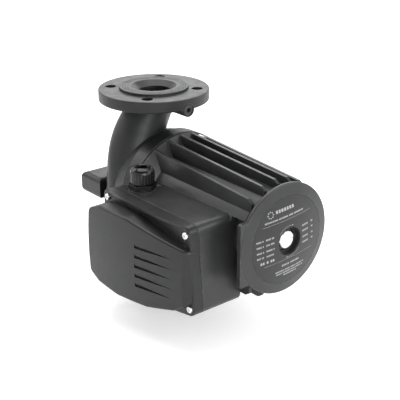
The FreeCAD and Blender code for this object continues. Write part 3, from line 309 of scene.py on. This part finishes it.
class Print:
    """Flat marks laid on the label, drawn in its own upright axes in millimetres."""

    def __init__(self):
        self.mesh = bmesh.new()

    def point(self, u, v, lift=0.0):
        x = u * math.cos(LABEL_TILT) - v * math.sin(LABEL_TILT)
        z = u * math.sin(LABEL_TILT) + v * math.cos(LABEL_TILT)
        return label_surface(x * MM, z * MM) + Vector((0, -lift, 0))

    def plate(self, outline):
        """Closed thin plate over an outline of (u, v) points."""
        top = [self.mesh.verts.new(self.point(u, v, PRINT_THICKNESS)) for u, v in outline]
        low = [self.mesh.verts.new(self.point(u, v)) for u, v in outline]
        self.mesh.faces.new(top)
        self.mesh.faces.new(list(reversed(low)))
        count = len(outline)
        for i in range(count):
            j = (i + 1) % count
            self.mesh.faces.new((top[j], top[i], low[i], low[j]))

    def bar(self, u0, u1, v, height):
        """Level bar, cut into short lengths so that it follows the dome."""
        lengths = max(1, round((u1 - u0) / BAR_LENGTH))
        step = (u1 - u0) / lengths
        for k in range(lengths):
            a, b = u0 + k * step, u0 + (k + 1) * step
            self.plate([(a, v - height / 2), (b, v - height / 2), (b, v + height / 2), (a, v + height / 2)])

    def greeked(self, u0, u1, v, height, letter, gap, words):
        """Row of small blocks in groups, in place of words."""
        u = u0
        group = 0
        while u + letter <= u1:
            for _ in range(words[group % len(words)]):
                if u + letter > u1:
                    break
                self.plate([(u, v - height / 2), (u + letter, v - height / 2),
                            (u + letter, v + height / 2), (u, v + height / 2)])
                u += letter + gap
            u += letter
            group += 1

    def arc(self, radius, start, end, width):
        """Thin arc about the middle of the label, angles in degrees."""
        steps = max(2, round(abs(end - start) / ARC_STEP))
        angles = [math.radians(start + (end - start) * k / steps) for k in range(steps + 1)]
        for a, b in zip(angles, angles[1:]):
            corners = [(radius, a), (radius + width, a), (radius + width, b), (radius, b)]
            self.plate([(r * math.cos(t), r * math.sin(t)) for r, t in corners])

    def triangle(self, radius, angle, size):
        """Arrow head on an arc."""
        t = math.radians(angle)
        middle = Vector((radius * math.cos(t), radius * math.sin(t)))
        ahead = Vector((math.sin(t), -math.cos(t)))
        side = Vector((math.cos(t), math.sin(t)))
        self.plate([tuple(middle + ahead * size), tuple(middle - ahead * size * 0.4 + side * size * 0.6),
                    tuple(middle - ahead * size * 0.4 - side * size * 0.6)])

    def finish(self, name, material):
        mesh = bpy.data.meshes.new(name)
        bmesh.ops.recalc_face_normals(self.mesh, faces=self.mesh.faces)
        self.mesh.to_mesh(mesh)
        self.mesh.free()
        mesh.materials.append(material)
        piece = bpy.data.objects.new(name, mesh)
        bpy.context.scene.collection.objects.link(piece)
        return piece


def print_ink():
    f = Finish("print_ink", (0.36, 0.36, 0.36), 0.5)
    return f.done(f.vary(0.002, 0.05, 0.8, 1.1))


# Layout of the label, in millimetres: u to the right and v up from the vent plug.
LOGO_U, LOGO_V = -24.5, 39.0
LOGO_RADIUS = 3.6
LOZENGE = 1.0
RULE_REACH = 37.0
RULE_THICK = 0.25
UPPER_RULE, LOWER_RULE = 27.2, -20.7
DATA_STYLE = {"height": 2.0, "letter": 1.1, "gap": 0.6}
SMALL_STYLE = {"height": 1.7, "letter": 1.0, "gap": 0.4}
LEFT_ROWS = ((12.4, 4, 4), (6.0, 4, 3), (-1.0, 4, 5), (-7.6, 3, 6))
RIGHT_ROWS = (11.8, 5.2, -2.4, -9.2)
ARC_RADIUS = 18.9
ARC_WIDTH = 0.3
ARROW_RADIUS = 19.1
ARROW_SIZE = 1.5


def logo_ring(ink):
    """Ring of eight plain lozenges."""
    for k in range(8):
        t = math.radians(45 * k)
        u, v = LOGO_U + LOGO_RADIUS * math.cos(t), LOGO_V + LOGO_RADIUS * math.sin(t)
        ink.plate([(u + LOZENGE * math.cos(a), v + LOZENGE * math.sin(a))
                   for a in (t, t + math.pi / 2, t + math.pi, t - math.pi / 2)])


def data_rows(ink):
    """Two columns of blocks on either side of the vent plug."""
    for v, first, second in LEFT_ROWS:
        ink.greeked(-46.5, -36.0, v, words=(first,), **DATA_STYLE)
        ink.greeked(-34.0, -22.5, v, words=(second,), **DATA_STYLE)
    ink.greeked(-42.0, -22.0, -15.2, 3.0, 2.2, 0.8, (2, 1, 2))
    for v in RIGHT_ROWS:
        ink.greeked(20.5, 32.0, v, words=(6,), **DATA_STYLE)
        ink.greeked(36.0, 40.8, v, words=(2,), **DATA_STYLE)


def small_print(ink):
    """Title and three rows of fine blocks below the lower rule."""
    ink.greeked(-11.5, 15.5, -27.6, 2.2, 1.5, 0.8, (5, 6))
    ink.greeked(-20.5, 24.5, -34.4, words=(9, 6, 5, 7), **SMALL_STYLE)
    ink.greeked(-19.0, 23.0, -37.8, words=(6, 8, 5), **SMALL_STYLE)
    ink.greeked(-8.0, 12.5, -41.2, words=(12,), **SMALL_STYLE)


def turning_arrows(ink):
    """Two arrows round the vent plug, in the sense of rotation."""
    for start, end, head in ((140, 80, 75), (-40, -98, -103)):
        ink.arc(ARC_RADIUS, start, end, ARC_WIDTH)
        ink.triangle(ARROW_RADIUS, head, ARROW_SIZE)


def label_print():
    """Generic rules, blocks and turning arrows of the rating plate."""
    ink = Print()
    logo_ring(ink)
    ink.greeked(-17.0, 12.0, 40.0, 3.6, 2.7, 1.3, (7,))
    ink.greeked(-33.5, 24.0, 31.2, 1.8, 1.1, 0.6, (11, 8, 4))
    for v in (UPPER_RULE, LOWER_RULE):
        ink.bar(-RULE_REACH, RULE_REACH, v, RULE_THICK)
    data_rows(ink)
    small_print(ink)
    turning_arrows(ink)
    piece = ink.finish("label_print", print_ink())
    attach(piece, "pump")


# ------------------------------ studio -------------------------------------

VIEW_AZIMUTH = math.radians(-39.7)
VIEW_ELEVATION = math.radians(22.2)
VIEW_DISTANCE = 1.192
VIEW_AIM = Vector((0.0448, -0.0372, 0.0936))
VIEW_LENS = 81.0
FLOOR_RADIUS = 4.0
FLOOR_FLAT = 2.6
FLOOR_SIDES = 64
BEND_STEPS = 8
WALL_HEIGHT = 3.0
FLOOR_GLOW = 0.4
FLOOR_SPOT = (0.35, -0.55, 0.0)    # on the floor ahead of the motor's end, to its right
AIR_STRENGTH = 0.15


def make_camera():
    back = Vector((math.sin(VIEW_AZIMUTH) * math.cos(VIEW_ELEVATION),
                   -math.cos(VIEW_AZIMUTH) * math.cos(VIEW_ELEVATION), math.sin(VIEW_ELEVATION)))
    data = bpy.data.cameras.new("camera")
    data.lens = VIEW_LENS
    data.sensor_width = 36.0
    data.clip_start, data.clip_end = 0.01, 50.0
    camera = bpy.data.objects.new("camera", data)
    camera.location = VIEW_AIM + back * VIEW_DISTANCE
    camera.rotation_mode = "QUATERNION"
    camera.rotation_quaternion = (-back).to_track_quat("-Z", "Y")
    bpy.context.scene.collection.objects.link(camera)
    bpy.context.scene.camera = camera


def floor_profile():
    """(radius, height) points of a round floor that curves up into a wall."""
    bend = FLOOR_RADIUS - FLOOR_FLAT
    points = [(0.0, 0.0), (FLOOR_FLAT, 0.0)]
    for k in range(1, BEND_STEPS + 1):
        t = math.pi / 2 * k / BEND_STEPS
        points.append((FLOOR_FLAT + bend * math.sin(t), bend * (1 - math.cos(t))))
    return points + [(FLOOR_RADIUS, WALL_HEIGHT)]


def make_floor():
    """Plain pale floor under the lower flange, with a wall all round far off."""
    mesh = bmesh.new()
    rings = []
    for radius, height in floor_profile():
        if radius == 0.0:
            rings.append([mesh.verts.new((0, 0, CAD_LOW.z))])
            continue
        angles = [2 * math.pi * k / FLOOR_SIDES for k in range(FLOOR_SIDES)]
        rings.append([mesh.verts.new((radius * math.cos(a), radius * math.sin(a), CAD_LOW.z + height))
                      for a in angles])
    for inner, outer in zip(rings, rings[1:]):
        for k in range(FLOOR_SIDES):
            n = (k + 1) % FLOOR_SIDES
            if len(inner) == 1:
                mesh.faces.new((inner[0], outer[k], outer[n]))
            else:
                mesh.faces.new((inner[k], outer[k], outer[n], inner[n]))
    data = bpy.data.meshes.new("studio_floor")
    mesh.to_mesh(data)
    mesh.free()
    for face in data.polygons:
        face.use_smooth = True
    f = Finish("studio_white", (0.86, 0.86, 0.86), 0.85)
    f.bump(f.noise(0.05, 3.0), 0.0001)
    material = f.done(f.vary(0.8, 0.03, 0.985, 1.0), Specular_IOR_Level=0.1,
                      Emission_Color=(1, 1, 1, 1), Emission_Strength=FLOOR_GLOW)
    data.materials.append(material)
    floor = bpy.data.objects.new("studio_floor", data)
    bpy.context.scene.collection.objects.link(floor)


def softbox(name, place, aim, size, power):
    light = bpy.data.lights.new(name, "AREA")
    light.shape = "RECTANGLE"
    light.size, light.size_y = size
    light.energy = power
    lamp = bpy.data.objects.new(name, light)
    lamp.location = place
    lamp.rotation_mode = "QUATERNION"
    lamp.rotation_quaternion = (Vector(aim) - Vector(place)).to_track_quat("-Z", "Y")
    bpy.context.scene.collection.objects.link(lamp)


def make_lights():
    middle = (CAD_LOW + CAD_HIGH) / 2
    softbox("top_light", (0.25, 0.35, 1.7), middle, (1.5, 1.5), 28)
    softbox("back_light", (1.5, 1.4, 1.1), middle, (1.6, 0.9), 10)
    softbox("left_light", (-1.7, 0.5, 0.8), middle, (0.9, 1.2), 1)
    softbox("front_fill", (-0.7, -2.0, 0.7), middle, (1.2, 0.8), 14)
    softbox("right_front", (0.8, -1.2, 0.9), FLOOR_SPOT, (0.9, 0.9), 9)
    softbox("back_left", (-0.6, 1.3, 1.25), middle, (0.7, 0.7), 7)
    world = bpy.data.worlds.new("studio_air")
    world.use_nodes = True
    world.node_tree.nodes["Background"].inputs["Color"].default_value = (1, 1, 1, 1)
    world.node_tree.nodes["Background"].inputs["Strength"].default_value = AIR_STRENGTH
    bpy.context.scene.world = world
    bpy.context.scene.view_settings.view_transform = "Standard"


make_camera()
make_floor()
make_lights()
dress_nodes()
label_print()
